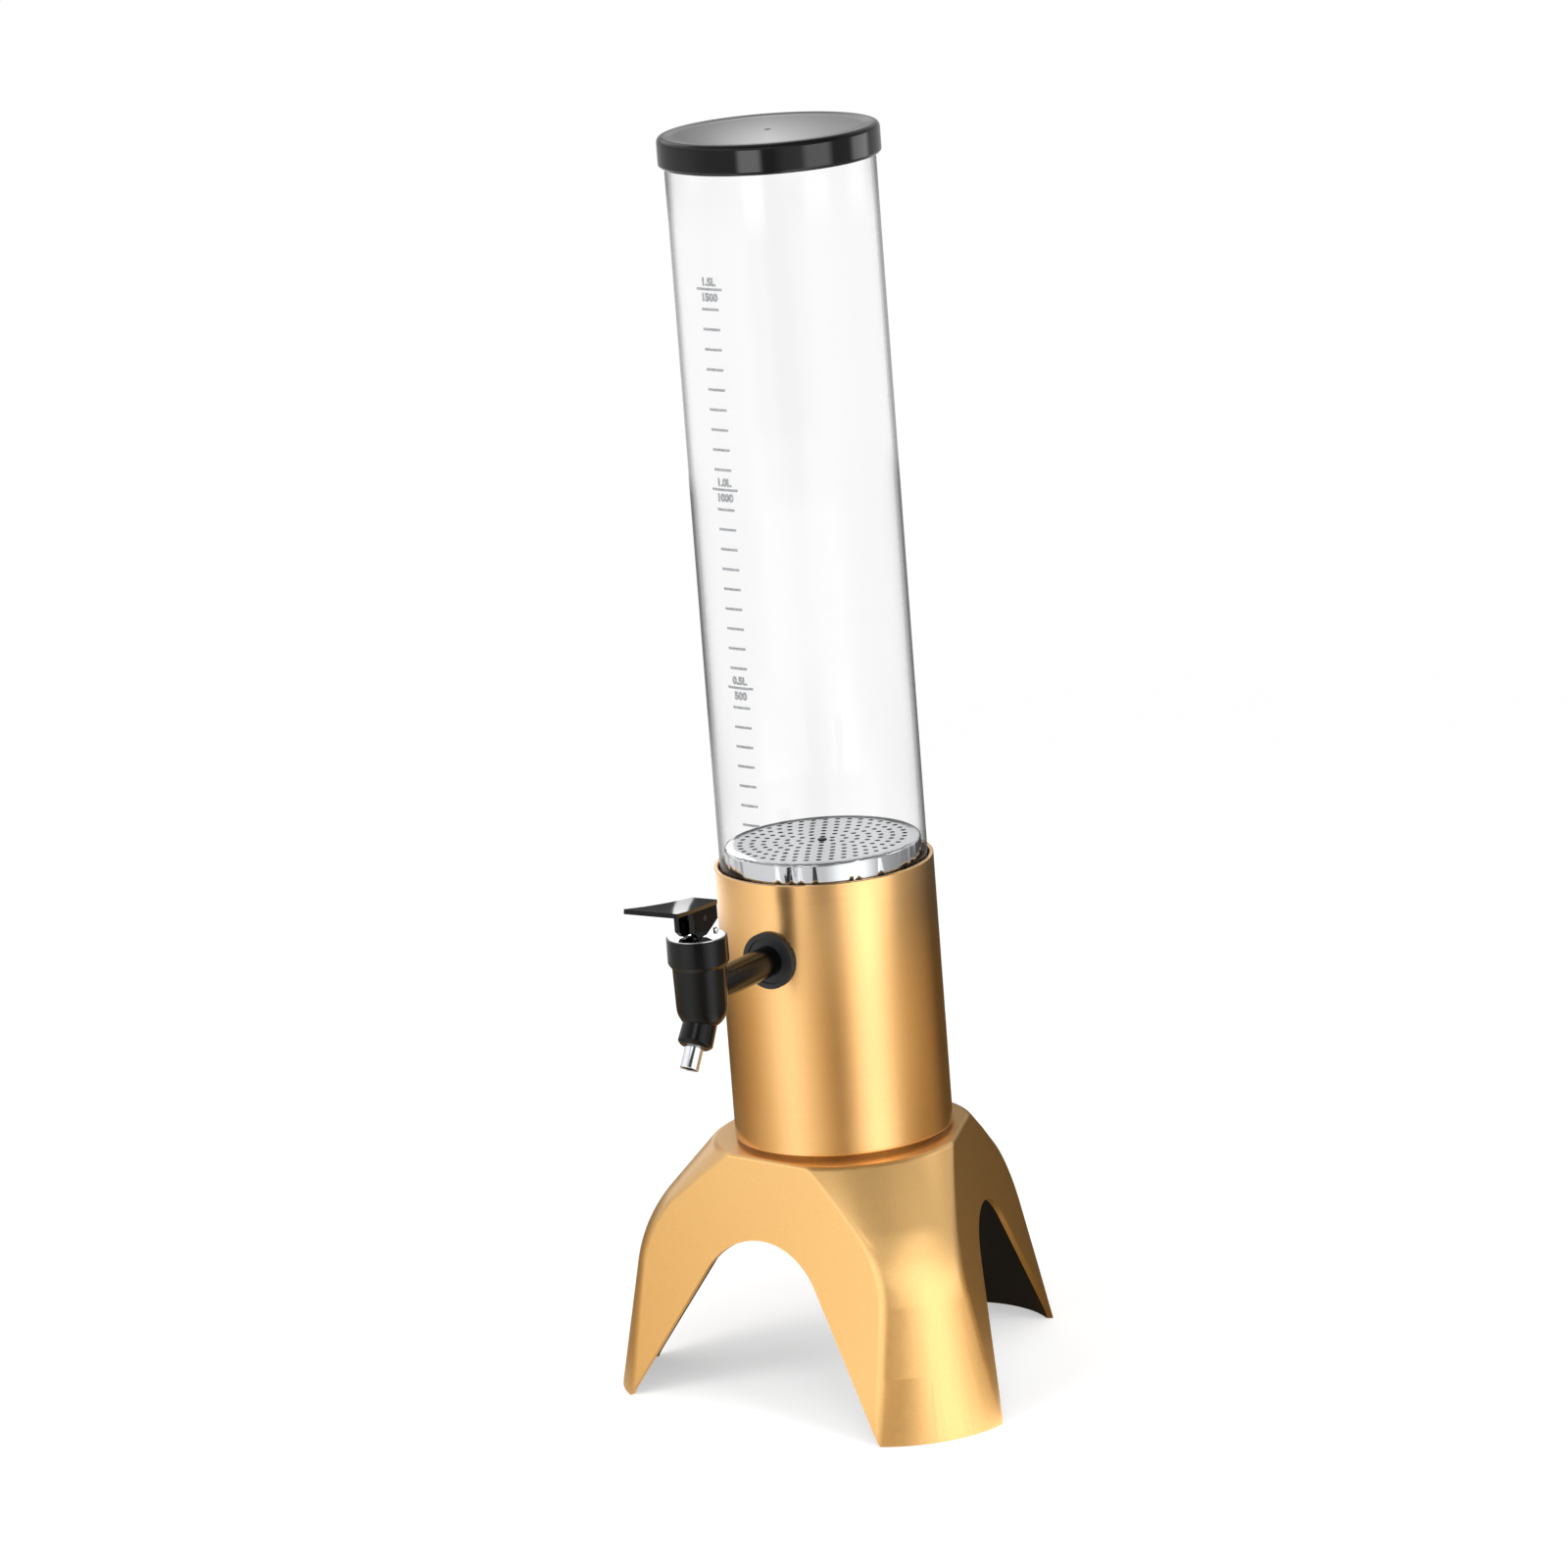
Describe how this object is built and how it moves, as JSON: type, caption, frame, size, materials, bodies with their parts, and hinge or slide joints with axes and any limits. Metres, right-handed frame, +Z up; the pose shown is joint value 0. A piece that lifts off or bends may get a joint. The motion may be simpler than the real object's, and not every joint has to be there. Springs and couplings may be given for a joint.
{
  "type": "beer tower dispenser",
  "caption": "Tall clear graduated drink tube in a gold sleeve on a three-legged arched base, with a black lid and a sprung lever tap.",
  "frame": {"origin": "at table level, in the middle of the object's bounding box seen from above", "axes": "+Z up along the tower; the tap reaches out along -Y; +X to the right of the tap seen from in front of it"},
  "size_m": [0.1976, 0.2406, 0.5516],
  "materials": {
    "moulded_gold": "satin gold",
    "brushed_gold": "satin brushed, gold tinted",
    "clear_acrylic": "clear polished",
    "dark_plastic": "satin black",
    "gloss_black": "gloss black",
    "rubber": "matt black",
    "seal_silicone": "translucent white",
    "zinc_steel": "plain",
    "dark_steel": "black oxide",
    "perforated_steel": "polished stainless",
    "chrome": "bright"
  },
  "bodies": {
    "tower": {"tripod_base": "moulded_gold", "sleeve": "brushed_gold", "tube": "clear_acrylic", "tube_plug": "dark_plastic", "plug_oring": "rubber", "column": "dark_plastic", "centre_bolt": "zinc_steel", "bolt_washer": "zinc_steel", "strainer": "perforated_steel", "tap_body": "dark_plastic", "tap_shank": "dark_plastic", "outer_gasket": "rubber", "inner_gasket": "rubber", "shank_nut": "dark_plastic", "bonnet": "chrome", "nozzle": "chrome"},
    "lid": {"lid": "gloss_black", "lid_seal": "seal_silicone"},
    "stem": {"stem": "dark_steel", "pivot_pin": "dark_steel", "valve_seal": "seal_silicone", "valve_spring": "zinc_steel"},
    "lever": {"lever": "dark_plastic"}
  },
  "joints": [
    {"name": "lid_lift", "type": "slide", "parent": "tower", "child": "lid", "axis": [0, 0, 1], "range_m": [0, 0.045]},
    {"name": "stem_lift", "type": "slide", "parent": "tower", "child": "stem", "axis": [0, 0, 1], "range_m": [0, 0.002], "stiffness_N_per_m": 300, "springref_m": -0.002, "deforming": ["valve_spring"]},
    {"name": "lever_tilt", "type": "hinge", "parent": "stem", "child": "lever", "pos_m": [0.00404, -0.08697, 0.2329], "axis": [1, 0, 0], "range_deg": [0, 22]}
  ],
  "couplings": [
    {"joint": "lever_tilt", "follows": "stem_lift", "rad_per_m": 191.9}
  ]
}
